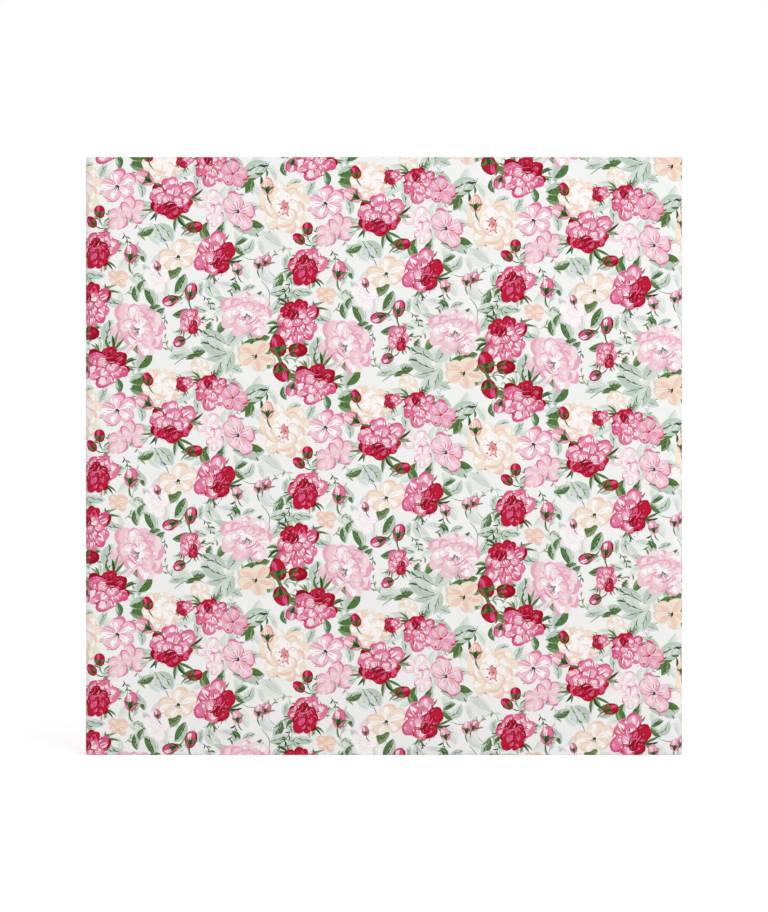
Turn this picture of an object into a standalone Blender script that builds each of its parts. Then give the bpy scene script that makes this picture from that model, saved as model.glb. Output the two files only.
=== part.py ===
"""Fabric bolt: a length of printed cotton, folded lengthwise in half and wound round a flat
cardboard board.

The bolt stands on one end of the board, as it does on a shop shelf. Its broad front face looks
along -Y, the winding runs round the Z axis, and the loose end of the cloth is pinned to the back.
Units are metres, +Z is up, and the origin is on the floor under the middle of the bolt.
"""

import math

import bmesh
import bpy

# Driving dimensions
FACE = 0.570            # side of the broad face: half of 1.14 m wide cloth
TURN = 0.0007           # what one turn of doubled cloth adds to each side
TURNS = 12              # turns of 13.7 m of cloth on this board
BOARD_THICK = 0.018
BOARD_RECESS = 0.005    # how far the board's ends lie inside the cloth's ends
WALL = 0.0025           # corrugated sheet of the sleeve
FLAP = 0.002            # creased sheet of the end flaps
GAP = 0.0003            # between pieces that touch
SLACK = 0.0009          # between the board and the first turn, where the tape lies
TAIL_END_X = 0.150      # where the cut end of the cloth lies on the back
PIN_HEIGHTS = (0.110, 0.285, 0.460)
PIN_LENGTH = 0.034
PIN_RADIUS = 0.0003
PIN_HEAD_RADIUS = 0.0015
PIN_OVERHANG = 0.006    # how far a pin's head stands past the cut end
PIN_LIFT = 0.0008       # pin's axis above the cloth that it holds
TUCK = 0.009            # length of the tongue that tucks into the board
TUCK_CLEAR = 0.001      # between the tongue and the board's back wall
GLUE_FLAP = 0.030
PAD_COUNT = 3
LABEL_LENGTH = 0.100
TAPE_WIDTH = 0.025
FOLD_RADIUS = 0.0012    # corners of the folded board
ARC_STEPS = 6

# Sizes that follow from them
WIND = TURN * TURNS
DEPTH = BOARD_THICK + 2 * (SLACK + WIND) + GAP + TURN + PIN_LIFT + PIN_HEAD_RADIUS
FRONT_Y = -DEPTH / 2
BOARD_Y = FRONT_Y + WIND + SLACK + BOARD_THICK / 2
BACK_Y = BOARD_Y + BOARD_THICK / 2 + SLACK + WIND
TAIL_Y = BACK_Y + GAP + TURN / 2
PIN_Y = BACK_Y + GAP + TURN + PIN_LIFT
BOARD_WIDE = FACE - 2 * (WIND + SLACK)
WOUND_RADIUS = WIND + FOLD_RADIUS
TAIL_ROOT_X = -(FACE / 2 - WOUND_RADIUS)
INNER_WIDE = BOARD_WIDE - 2 * WALL
INNER_THICK = BOARD_THICK - 2 * WALL
SLEEVE_LOW = BOARD_RECESS + 2 * (FLAP + GAP)
SLEEVE_HIGH = FACE - BOARD_RECESS - FLAP - GAP - 0.001
PADS_HIGH = SLEEVE_HIGH - TUCK - 0.006
FLAP_HINGE = (0.0, BOARD_Y - INNER_THICK / 2, SLEEVE_HIGH + GAP / 2)
FLAP_DEEP = INNER_THICK - TUCK_CLEAR
TONGUE_HINGE = (0.0, FLAP_HINGE[1] + FLAP_DEEP - FLAP, SLEEVE_HIGH + GAP / 2)

# Colours as linear RGB, then roughness and metallic
FINISHES = {
    "printed_cotton": ((0.66, 0.50, 0.50), 0.9, 0.0),
    "kraft_board": ((0.45, 0.29, 0.16), 0.85, 0.0),
    "label_paper": ((0.85, 0.85, 0.82), 0.6, 0.0),
    "paper_tape": ((0.62, 0.50, 0.32), 0.6, 0.0),
    "pin_steel": ((0.62, 0.62, 0.64), 0.25, 1.0),
    "pearl_plastic": ((0.85, 0.80, 0.78), 0.25, 0.0),
}


def clear_scene():
    for thing in list(bpy.data.objects):
        bpy.data.objects.remove(thing, do_unlink=True)


def new_collection(name):
    group = bpy.data.collections.new(name)
    bpy.context.scene.collection.children.link(group)
    return group


def finish_material(name, finish):
    colour, roughness, metallic = FINISHES[finish]
    material = bpy.data.materials.new(name)
    material.use_nodes = True
    shader = material.node_tree.nodes["Principled BSDF"]
    shader.inputs["Base Color"].default_value = (*colour, 1.0)
    shader.inputs["Roughness"].default_value = roughness
    shader.inputs["Metallic"].default_value = metallic
    return material


def add_piece(group, name, data, finish, parent=None):
    """Links one named sub-part, whose data is in its parent's space."""
    piece = bpy.data.objects.new(name, data)
    group.objects.link(piece)
    data.materials.append(finish_material(name + "_finish", finish))
    piece.parent = parent
    return piece


def add_pivot(group, name, place, parent=None):
    """An empty on a joint's axis; place is in world space and the parents are not turned."""
    pivot = bpy.data.objects.new(name, None)
    group.objects.link(pivot)
    pivot.empty_display_size = 0.01
    offset = (0.0, 0.0, 0.0)
    step = parent
    while step is not None:
        offset = tuple(a + b for a, b in zip(offset, step.location))
        step = step.parent
    pivot.location = tuple(a - b for a, b in zip(place, offset))
    pivot.parent = parent
    return pivot


def box_mesh(name, low, high, origin=(0.0, 0.0, 0.0)):
    """A rectangular sheet between two world corners, stored about origin."""
    shape = bmesh.new()
    bmesh.ops.create_cube(shape, size=1.0)
    for vertex in shape.verts:
        for axis in range(3):
            middle = (low[axis] + high[axis]) / 2 - origin[axis]
            vertex.co[axis] = vertex.co[axis] * (high[axis] - low[axis]) + middle
    mesh = bpy.data.meshes.new(name)
    shape.to_mesh(mesh)
    shape.free()
    return mesh


def rounded_rectangle(wide, deep, radius, steps=ARC_STEPS):
    """Points of a rectangle with round corners, anticlockwise."""
    points = []
    corners = ((1, 1, 0), (-1, 1, 90), (-1, -1, 180), (1, -1, 270))
    for side_x, side_y, start in corners:
        for step in range(steps + 1):
            angle = math.radians(start + 90 * step / steps)
            points.append((side_x * (wide / 2 - radius) + radius * math.cos(angle),
                           side_y * (deep / 2 - radius) + radius * math.sin(angle)))
    return points


def tube_outline(name, outlines, low, high, centre_y):
    """A flat outline with a hole, extruded upright from low to high."""
    outline = bpy.data.curves.new(name, "CURVE")
    outline.dimensions = "2D"
    outline.fill_mode = "BOTH"
    outline.extrude = (high - low) / 2
    for points in outlines:
        spline = outline.splines.new("POLY")
        spline.points.add(len(points) - 1)
        for point, (x, y) in zip(spline.points, points):
            point.co = (x, y + centre_y, 0.0, 1.0)
        spline.use_cyclic_u = True
    return outline


def make_wound_cloth(group):
    """All the turns but the loose end: a thick flat tube of doubled cloth."""
    outer = rounded_rectangle(FACE, BOARD_THICK + 2 * (SLACK + WIND), WOUND_RADIUS)
    inner = rounded_rectangle(FACE - 2 * WIND, BOARD_THICK + 2 * SLACK, FOLD_RADIUS, steps=2)
    outline = tube_outline("wound_cloth", (outer, inner), 0.0, FACE, BOARD_Y)
    piece = add_piece(group, "wound_cloth", outline, "printed_cotton")
    piece.location = (0.0, 0.0, FACE / 2)


def make_sleeve(group):
    """The board's outer skin: one sheet folded into a flat tube."""
    outer = rounded_rectangle(BOARD_WIDE, BOARD_THICK, FOLD_RADIUS, steps=2)
    inner = rounded_rectangle(INNER_WIDE, INNER_THICK, 0.0004, steps=1)
    outline = tube_outline("board_sleeve", (outer, inner), SLEEVE_LOW, SLEEVE_HIGH, BOARD_Y)
    piece = add_piece(group, "board_sleeve", outline, "kraft_board")
    piece.location = (0.0, 0.0, (SLEEVE_LOW + SLEEVE_HIGH) / 2)


def make_board_inside(group):
    """The pads that stiffen the board and the flap that glues the sleeve shut."""
    half_thick = INNER_THICK / 2
    half_wide = INNER_WIDE / 2
    low = SLEEVE_LOW + GAP
    flap_front = BOARD_Y + half_thick - GAP - FLAP
    data = box_mesh("sleeve_glue_flap", (half_wide - GAP - GLUE_FLAP, flap_front, low),
                    (half_wide - GAP, flap_front + FLAP, PADS_HIGH))
    add_piece(group, "sleeve_glue_flap", data, "kraft_board")
    pad_front = BOARD_Y - half_thick + GAP
    pitch = (flap_front - pad_front) / PAD_COUNT
    for number in range(PAD_COUNT):
        name = f"stiffening_pad_{number + 1}"
        front = pad_front + number * pitch
        data = box_mesh(name, (-half_wide + GAP, front, low),
                        (half_wide - GAP, front + pitch - GAP, PADS_HIGH))
        add_piece(group, name, data, "kraft_board")


def make_glued_bottom(group):
    """Two flaps folded over each other and glued at the board's lower end."""
    outer_low = BOARD_RECESS
    inner_low = BOARD_RECESS + FLAP + GAP
    half = BOARD_WIDE / 2 - FOLD_RADIUS
    deep = BOARD_THICK / 2
    data = box_mesh("bottom_outer_flap", (-half, BOARD_Y - deep, outer_low),
                    (half, BOARD_Y + deep, outer_low + FLAP))
    add_piece(group, "bottom_outer_flap", data, "kraft_board")
    data = box_mesh("bottom_inner_flap", (-half, BOARD_Y - deep + WALL, inner_low),
                    (half, BOARD_Y + deep, inner_low + FLAP))
    add_piece(group, "bottom_inner_flap", data, "kraft_board")


def make_tuck_end(group):
    """The upper end: a creased flap, the tongue that tucks in, and a blank paper label."""
    hinge = add_pivot(group, "top_flap_pivot", FLAP_HINGE)
    half = INNER_WIDE / 2 - 0.001
    low = SLEEVE_HIGH + GAP
    far = FLAP_HINGE[1] + FLAP_DEEP
    data = box_mesh("top_tuck_flap", (-half, FLAP_HINGE[1], low), (half, far, low + FLAP),
                    FLAP_HINGE)
    add_piece(group, "top_tuck_flap", data, "kraft_board", hinge)
    label_low = low + FLAP + GAP
    margin = 0.0008
    data = box_mesh("end_label", (-LABEL_LENGTH / 2, FLAP_HINGE[1] + margin, label_low),
                    (LABEL_LENGTH / 2, far - margin, label_low + GAP), FLAP_HINGE)
    add_piece(group, "end_label", data, "label_paper", hinge)
    fold = add_pivot(group, "tongue_pivot", TONGUE_HINGE, hinge)
    shoulder = 0.004
    data = box_mesh("top_tuck_tongue", (-half + shoulder, TONGUE_HINGE[1], SLEEVE_HIGH - TUCK),
                    (half - shoulder, far, SLEEVE_HIGH), TONGUE_HINGE)
    add_piece(group, "top_tuck_tongue", data, "kraft_board", fold)


def make_starter_tape(group):
    """Paper tape that holds the first edge of the cloth to the board's back."""
    front = BOARD_Y + BOARD_THICK / 2 + GAP
    data = box_mesh("starter_tape", (-TAPE_WIDTH / 2, front, 0.060),
                    (TAPE_WIDTH / 2, front + GAP, FACE - 0.060))
    add_piece(group, "starter_tape", data, "paper_tape")


def make_loose_end(group):
    """The last half turn, on the back, which opens like a page from the left edge."""
    place = (TAIL_ROOT_X, TAIL_Y, FACE / 2)
    hinge = add_pivot(group, "loose_end_pivot", place)
    data = box_mesh("loose_end", (TAIL_ROOT_X, TAIL_Y - TURN / 2, 0.0),
                    (TAIL_END_X, TAIL_Y + TURN / 2, FACE), place)
    add_piece(group, "loose_end", data, "printed_cotton", hinge)
    return hinge


def pin_shaft_curve(name):
    """A round wire along -X from the head, narrowed to a ground point."""
    wire = bpy.data.curves.new(name, "CURVE")
    wire.dimensions = "3D"
    wire.bevel_depth = PIN_RADIUS
    wire.bevel_resolution = 2
    wire.use_fill_caps = True
    ground = 0.003
    path = wire.splines.new("POLY")
    path.points.add(2)
    stations = ((0.0, 1.0), (PIN_LENGTH - ground, 1.0), (PIN_LENGTH, 0.3))
    for point, (along, thickness) in zip(path.points, stations):
        point.co = (-along, 0.0, 0.0, 1.0)
        point.radius = thickness
    return wire


def pin_head_mesh(name):
    shape = bmesh.new()
    bmesh.ops.create_uvsphere(shape, u_segments=16, v_segments=10, radius=PIN_HEAD_RADIUS)
    mesh = bpy.data.meshes.new(name)
    shape.to_mesh(mesh)
    shape.free()
    mesh.shade_smooth()
    return mesh


def make_pins(group, tail):
    """Glass-headed pins that hold the cut end; each slides out along its own shaft."""
    for number, height in enumerate(PIN_HEIGHTS, start=1):
        head_x = TAIL_END_X + PIN_OVERHANG
        pivot = add_pivot(group, f"pin_{number}_slide", (head_x, PIN_Y, height), tail)
        name = f"pin_{number}_head"
        add_piece(group, name, pin_head_mesh(name), "pearl_plastic", pivot)
        name = f"pin_{number}_shaft"
        shaft = add_piece(group, name, pin_shaft_curve(name), "pin_steel", pivot)
        shaft.location = (-PIN_HEAD_RADIUS - 0.0001, 0.0, 0.0)


def main():
    clear_scene()
    group = new_collection("fabric_bolt")
    make_wound_cloth(group)
    make_sleeve(group)
    make_board_inside(group)
    make_glued_bottom(group)
    make_tuck_end(group)
    make_starter_tape(group)
    tail = make_loose_end(group)
    make_pins(group, tail)


main()
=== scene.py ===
"""The looks of a fabric bolt: printed cotton wound on a cardboard board, with its loose end pinned.

The print is drawn here as flat shapes in millimetres, in painter's order: one repeat of a rose
chintz with roses, blossoms, buds, leaves and stems. The repeat is flattened into one mesh whose
faces carry their ink, laid out over the cloth, and bent round the winding.
"""

import math
import random

import bmesh
import bpy
import numpy as np
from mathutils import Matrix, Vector, noise
from mathutils.bvhtree import BVHTree
from mathutils.geometry import delaunay_2d_cdt


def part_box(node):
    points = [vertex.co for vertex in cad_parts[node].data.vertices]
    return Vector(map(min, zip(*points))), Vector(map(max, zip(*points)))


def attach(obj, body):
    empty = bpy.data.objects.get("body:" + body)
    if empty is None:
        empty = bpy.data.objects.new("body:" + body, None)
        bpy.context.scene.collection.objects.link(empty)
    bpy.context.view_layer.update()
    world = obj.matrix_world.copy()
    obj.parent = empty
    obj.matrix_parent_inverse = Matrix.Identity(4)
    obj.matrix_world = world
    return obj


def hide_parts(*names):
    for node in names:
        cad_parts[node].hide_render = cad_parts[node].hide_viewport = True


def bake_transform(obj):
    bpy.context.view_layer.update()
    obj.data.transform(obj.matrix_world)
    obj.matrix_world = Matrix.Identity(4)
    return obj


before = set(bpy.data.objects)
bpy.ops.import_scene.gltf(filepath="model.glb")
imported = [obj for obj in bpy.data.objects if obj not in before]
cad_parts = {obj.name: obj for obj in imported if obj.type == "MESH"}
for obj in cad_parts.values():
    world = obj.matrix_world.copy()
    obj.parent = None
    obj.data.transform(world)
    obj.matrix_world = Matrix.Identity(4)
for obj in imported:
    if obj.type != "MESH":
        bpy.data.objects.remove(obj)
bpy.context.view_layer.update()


# ---- Looks that are the same everywhere ------------------------------------------
ALBEDO = 0.745          # the cloth's reflectance where the print is pure white
THREAD = 0.00033        # spacing of the weave's threads
WORLD_LIGHT = 1.0       # strength of the even studio light
KEY_POWER = 60.0        # the softbox, in watts
FLOOR_GLOW = 0.10       # keeps the floor white under the bolt
FACE_SHARE = 0.6557     # of the picture's height that the bolt's face fills
FOCAL_MM = 150.0        # the camera's lens and its sensor's width
SENSOR_MM = 36.0
LAMP_PLACE = (1.7, -3.0, 2.3)
LAMP_SIZE = (2.4, 2.0)
FLOOR_REACH = 12.0      # half the floor's side
WHITE = (1.0, 1.0, 1.0, 1.0)

# ---- The print, in millimetres from its top left corner, y up ---------------------
PITCH_X, DROP, PITCH_Y = 198.3, -16.2, 213.5
INK = {
    "ground": (241, 241, 240), "white": (248, 246, 245), "ice": (231, 233, 229),
    "crimson": (146, 8, 30), "red": (186, 24, 54), "hot": (214, 86, 131), "rose": (223, 122, 158),
    "pink": (232, 170, 190), "blush": (238, 200, 211), "shell": (242, 222, 227),
    "cream": (241, 228, 208), "peach": (237, 202, 188), "coral": (226, 150, 148),
    "leaf": (84, 120, 62), "deep": (46, 78, 40), "moss": (134, 156, 112),
    "sage": (186, 202, 188), "mist": (210, 219, 212),
}
INK_NAMES = sorted(INK)


def polar(x, y, far, aim):
    """The point that lies far from x, y in the direction aim."""
    return x + far * math.cos(aim), y + far * math.sin(aim)


class Print:
    """A painter's list of flat shapes: each is laid over the ones before it."""

    def __init__(self, seed):
        self.shapes = []
        self.dice = random.Random(seed)

    def spread(self, low, high):
        return self.dice.uniform(low, high)

    def fill(self, ink, points):
        self.shapes.append((ink, points))

    # ---- marks ---------------------------------------------------------------
    def blob(self, ink, x, y, radius, squash, turn, wobble, count):
        """A rounded patch of paint, squashed across turn, with an uneven edge."""
        a, b = self.spread(0, math.tau), self.spread(0, math.tau)
        points = []
        for k in range(count):
            t = math.tau * k / count
            r = radius * (1 + wobble * math.sin(2 * t + a) + 0.7 * wobble * math.sin(3 * t + b))
            px, py = r * math.cos(t), r * squash * math.sin(t)
            points.append((x + px * math.cos(turn) - py * math.sin(turn),
                           y + px * math.sin(turn) + py * math.cos(turn)))
        self.fill(ink, points)

    def stroke(self, ink, start, end, width, bend, blunt=0.0, count=5):
        """A brush mark that tapers to both ends; blunt keeps its start wide."""
        dx, dy = end[0] - start[0], end[1] - start[1]
        near, far = [], []
        for k in range(count + 1):
            t = k / count
            bow = bend * math.sin(math.pi * t)
            slope = bend * math.pi * math.cos(math.pi * t)
            x = start[0] + dx * t - dy * bow
            y = start[1] + dy * t + dx * bow
            nx, ny = -(dy + dx * slope), dx - dy * slope
            size = math.hypot(nx, ny) or 1.0
            half = width / 2 * (math.sin(math.pi * t) ** 0.8 * (1 - blunt)
                                + blunt * max(0.0, math.cos(math.pi * t / 2)) ** 0.7)
            if half < 0.02:
                near.append((x, y))
                continue
            near.append((x + nx / size * half, y + ny / size * half))
            far.append((x - nx / size * half, y - ny / size * half))
        self.fill(ink, near + far[::-1])

    def crescent(self, ink, x, y, radius, start, end, thick, count=7):
        """A curved sliver, widest in its middle: a petal's turned edge or its shadow."""
        outer, inner = [], []
        for k in range(count + 1):
            t = k / count
            a = start + (end - start) * t
            outer.append(polar(x, y, radius, a))
            inner.append(polar(x, y, radius - thick * math.sin(math.pi * t), a))
        self.fill(ink, outer + inner[-2:0:-1])

    def streaks(self, ink, x, y, aim, near, far, width, number, fan):
        """A fan of brush marks along a petal."""
        for k in range(number):
            a = aim + fan * ((k + 0.5) / number - 0.5) + self.spread(-0.05, 0.05)
            start = polar(x, y, near * self.spread(0.85, 1.15), a)
            end = polar(x, y, far * self.spread(0.85, 1.05), a)
            curl = 0.35 * (a - aim) + self.spread(-0.06, 0.06)
            self.stroke(ink, start, end, width, curl, blunt=0.25, count=3)

    def tilt(self, first, x, y, aim, squash):
        """Foreshortens every shape since number first about x, y along aim."""
        cos, sin = math.cos(aim), math.sin(aim)
        for number in range(first, len(self.shapes)):
            ink, points = self.shapes[number]
            moved = []
            for px, py in points:
                along = ((px - x) * cos + (py - y) * sin) * squash
                side = (py - y) * cos - (px - x) * sin
                moved.append((x + along * cos - side * sin, y + along * sin + side * cos))
            self.shapes[number] = (ink, moved)

    # ---- flowers -------------------------------------------------------------
    def fan(self, ink, x, y, aim, reach, spread, frill, count=15):
        """A cupped petal: a fan from its narrow base to a full, slightly uneven edge."""
        phase, lobes = self.spread(0, math.tau), self.spread(2.2, 4.2)
        base = 0.16
        points = []
        for k in range(count):
            t = math.sin(math.pi * (k / (count - 1) - 0.5))
            a = aim + spread / 2 * t * (1 + 0.06 * math.sin(phase))
            r = reach * (1 - 0.985 * abs(t) ** 2.7) ** 0.40 * (1 + frill * math.sin(lobes * t + phase) * 2)
            points.append(polar(x, y, max(r, reach * base), a))
        points += [polar(x, y, 0.4 * base * reach, aim + side * spread) for side in (0.4, -0.4)]
        self.fill(ink, points)

    def rose_petal(self, x, y, aim, reach, spread, dim, pale):
        """One petal of a dark rose: shadow, body, a lighter face, and brush marks both ways."""
        tones = (("crimson", "red", "red", "hot", "rose", "crimson") if dim
                 else ("hot", "rose", "pink", "shell", "white", "red") if pale
                 else ("crimson", "hot", "rose", "blush", "shell", "red"))
        shadow, rim, body, face, light, dark = tones
        if self.dice.random() < 0.2:
            body = rim
        self.fan(shadow, x, y, aim - 0.06, reach * 1.01, spread * 1.02, 0.05)
        self.fan(rim, x, y, aim, reach, spread, 0.05)
        self.fan(body, x, y, aim + 0.05, reach * 0.87, spread * 0.80, 0.07)
        self.fan(face, x, y, aim + self.spread(-0.20, 0.20), reach * 0.80, spread * 0.46, 0.10, count=11)
        self.streaks(light, x, y, aim, reach * 0.42, reach * 0.92, reach * 0.07, 3, spread * 0.66)
        self.streaks(dark, x, y, aim, reach * 0.36, reach * 0.84, reach * 0.07, 3, spread * 0.86)

    def cabbage_rose(self, x, y, size, turn, dark, petals=6, shade=None, squash=0.92):
        """A full rose seen a little from the side: its core lies away from turn, and the petals
        towards shade are the dark ones."""
        shade = turn + 2.4 if shade is None else shade
        for side in (-1.3, 0.1, 1.5):
            a = shade + side + self.spread(-0.3, 0.3)
            self.tuft(*polar(x, y, 0.66 * size, a), size * self.spread(0.6, 0.85), a)
        first = len(self.shapes)
        rows = ((petals, 1.00, 0.00), (petals - 1, 0.78, 0.14), (max(petals - 2, 3), 0.56, 0.26))
        for row, (count, reach, shift) in enumerate(rows):
            cx, cy = polar(x, y, -shift * size, turn)
            begin = self.spread(0, math.tau)
            stride = 2 if count % 2 else 3 if count % 3 else 5
            for k in range(count):
                aim = begin + math.tau * (k * stride % count) / count + self.spread(-0.14, 0.14)
                long = size * reach * self.spread(0.90, 1.05) * (1 + 0.10 * math.cos(aim - turn))
                wide = math.tau / count * self.spread(1.10, 1.50)
                dim = math.cos(aim - shade) + 0.12 * row > 1.40 - dark
                self.rose_petal(cx, cy, aim, long, wide, dim, row > 0 or math.cos(aim - turn) > 0.3)
                # the hollow between this petal and its neighbour
                self.crescent("crimson" if dim else "red", cx, cy, long * 0.84,
                              aim + wide * 0.16, aim + wide * 0.5, size * 0.05, count=4)
        self.rose_core(*polar(x, y, -0.32 * size, turn), size * 0.31, turn, size * 0.07)
        self.tilt(first, x, y, turn + 0.6, squash)

    def rose_core(self, cx, cy, core, turn, fold):
        """A dark heart inside folded rims; fold is how wide they are."""
        self.blob("crimson", cx, cy, core, 0.84, turn, 0.10, 13)
        for k in range(7):
            a = turn + math.tau * k / 7 + self.spread(-0.2, 0.2)
            start = polar(cx, cy, core * self.spread(0.35, 0.55), a)
            end = polar(cx, cy, core * self.spread(0.95, 1.35), a + 0.3)
            self.stroke(("red", "crimson", "hot")[k % 3], start, end, fold, 0.2, 0.3, count=4)
        self.crescent("rose", cx, cy, core * 0.94, turn - 1.3, turn + 0.6, core * 0.20)
        self.crescent("red", cx, cy, core * 0.76, turn + 1.6, turn + 4.4, core * 0.26)
        self.crescent("pink", cx, cy, core * 0.60, turn - 0.4, turn + 1.3, core * 0.16)
        self.crescent("hot", cx, cy, core * 0.38, turn + 2.6, turn + 5.2, core * 0.16)

    def tuft(self, x, y, reach, aim):
        """A bunch of narrow leaves that stick out from behind a flower."""
        for k, ink in enumerate(("sage", "leaf", "moss", "deep", "leaf")):
            a = aim + 0.36 * (k - 2) + self.spread(-0.1, 0.1)
            tip = polar(x, y, reach * self.spread(0.7, 1.1), a)
            self.stroke(ink, (x, y), tip, reach * 0.16, self.spread(-0.2, 0.2), blunt=0.3)

    def blossom(self, x, y, size, turn, body, petals=5, edge="rose", vein="pink", heart="deep",
                glow="white", squash=0.8):
        """An open flower of a few broad petals, outlined on one side, seen a little from the side."""
        first = len(self.shapes)
        for k in sorted(range(petals), key=lambda k: (k * 2) % petals):
            aim = turn + math.tau * k / petals + self.spread(-0.16, 0.16)
            reach = size * self.spread(0.84, 1.04) * (1 + 0.12 * math.cos(aim - turn))
            wide = math.tau / petals * self.spread(1.08, 1.34)
            side = self.spread(-0.09, 0.09)
            self.fan(edge, x, y, aim + side, reach * 1.02, wide, 0.04)
            self.fan(body, x, y, aim - 0.4 * side, reach * 0.985, wide * 0.97, 0.04)
            self.fan(glow, x, y, aim - 2.5 * side, reach * 0.86, wide * 0.50, 0.06, count=11)
            self.streaks(vein, x, y, aim, reach * 0.16, reach * 0.62, size * 0.045, 3, wide * 0.66)
            self.streaks(body, x, y, aim, reach * 0.55, reach * 0.95, size * 0.06, 2, wide * 0.6)
            self.crescent(edge, x, y, reach * 0.99, aim - wide * 0.34, aim + wide * 0.16, size * 0.05, 5)
            self.streaks(edge, x, y, aim, reach * 0.62, reach * 0.93, size * 0.035, 2, wide * 0.75)
        if heart:
            self.blob(heart, x, y, size * 0.12, 0.66, turn + 0.5, 0.2, 8)
            self.streaks(heart, x, y, turn + 2.6, 0.04 * size, size * 0.26, size * 0.05, 3, 1.5)
        self.tilt(first, x, y, turn + 0.3, squash)

    def peony(self, x, y, size, turn):
        """A large pale bloom of soft frilled petals round an open cup."""
        first = len(self.shapes)
        rows = ((7, 1.0, 0.0), (6, 0.80, 0.06), (5, 0.60, 0.10), (4, 0.42, 0.12))
        for row, (count, reach, shift) in enumerate(rows):
            cx, cy = polar(x, y, shift * size, turn)
            stride = 5 if count == 6 else 3
            for k in range(count):
                aim = turn + math.tau * (k * stride % count + 0.5 * row) / count + self.spread(-0.14, 0.14)
                long = size * reach * self.spread(0.92, 1.06)
                wide = math.tau / count * self.spread(1.15, 1.4)
                odd = (k + row) % 2
                self.fan("pink", cx, cy, aim + (0.05 if odd else -0.05), long * 1.01, wide, 0.05)
                self.fan("blush" if odd else "shell", cx, cy, aim, long * 0.985, wide * 0.96, 0.05)
                self.fan("shell" if odd else "white", cx, cy, aim - 0.08, long * 0.86, wide * 0.60,
                         0.08, 11)
                self.streaks("pink" if k % 3 else "rose", cx, cy, aim, long * 0.50, long * 0.88,
                             size * 0.038, 3, wide * 0.74)
                self.streaks("blush", cx, cy, aim, long * 0.66, long * 0.95, size * 0.05, 2, wide * 0.7)
        self.crescent("rose", x, y, size * 0.44, turn + 2.6, turn + 4.4, size * 0.06)
        self.crescent("pink", x, y, size * 0.56, turn - 0.9, turn + 0.9, size * 0.06)
        self.blob("white", x, y, size * 0.22, 0.8, turn, 0.2, 10)
        for k in range(7):
            a = turn + 1.9 + 0.30 * k
            tip = polar(x, y, size * 0.34, a)
            self.stroke(("rose", "deep", "leaf", "pink")[k % 4], (x, y), tip, size * 0.035, 0.14, count=3)
        self.blob("leaf", x, y, size * 0.055, 0.7, turn, 0.2, 7)
        self.tilt(first, x, y, turn, 0.88)

    def cream_rose(self, x, y, size, turn, heart=True):
        """A loose old rose in cream, white in its cup, with red stamens."""
        for row, (count, reach) in enumerate(((7, 1.0), (5, 0.76), (4, 0.56))):
            stride = 3 if count != 6 else 5
            for k in range(count):
                aim = turn + math.tau * (k * stride % count + 0.5 * row) / count + self.spread(-0.14, 0.14)
                long = size * reach * self.spread(0.92, 1.05)
                wide = math.tau / count * self.spread(1.2, 1.45)
                self.fan("peach" if (k + row) % 3 else "blush", x, y, aim + 0.05, long * 1.01, wide, 0.04)
                self.fan("cream", x, y, aim, long * 0.98, wide * 0.95, 0.04)
                self.fan("white", x, y, aim - 0.10, long * (0.84 + 0.05 * row),
                         wide * (0.50 + 0.18 * row), 0.07, 11)
                self.streaks("peach", x, y, aim, long * 0.55, long * 0.88, size * 0.035, 2, wide * 0.7)
                self.streaks("cream", x, y, aim, long * 0.46, long * 0.80, size * 0.055, 2, wide * 0.8)
        self.crescent("peach", x, y, size * 0.46, turn + 2.6, turn + 4.8, size * 0.07)
        if heart:
            self.blob("coral", x, y, size * 0.16, 1.5, turn, 0.2, 9)
            for k in range(13):
                a, r = k * 2.4, size * 0.075 * math.sqrt(k)
                self.blob(("red", "hot", "white")[k % 3], x + r * math.cos(a), y + r * math.sin(a) * 1.4,
                          size * self.spread(0.03, 0.055), self.spread(0.6, 1.0), a, 0.2, 6)

    def bud(self, x, y, size, turn, body, light, shade):
        """A closed bud that points along turn, in its sepals, on a bent stalk."""
        bx, by = polar(x, y, -0.7 * size, turn)
        self.stroke("leaf", polar(bx, by, -1.2 * size, turn + 0.4), polar(bx, by, 0.2 * size, turn),
                    size * 0.16, 0.14, count=4)
        self.blob(shade, x, y, size * 0.82, 0.76, turn, 0.05, 14)
        self.blob(body, *polar(x, y, 0.06 * size, turn + 1.6), size * 0.76, 0.68, turn, 0.05, 13)
        self.fan(light, bx, by, turn + 0.18, size * 1.36, 0.50, 0.05, count=11)
        self.fan(body, bx, by, turn - 0.10, size * 1.44, 0.34, 0.05, count=9)
        self.crescent(shade, x, y, size * 0.62, turn + 0.6, turn + 2.6, size * 0.12, count=5)
        self.streaks(shade, bx, by, turn, size * 0.30, size * 1.15, size * 0.08, 3, 0.7)
        for side, reach in ((-0.85, 1.0), (0.85, 0.95), (-0.3, 0.8), (0.32, 0.72)):
            self.stroke("leaf" if abs(side) > 0.5 else "deep", (bx, by),
                        polar(bx, by, reach * size, turn + side), size * 0.27,
                        -0.20 * math.copysign(1, side), blunt=0.4)

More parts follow.
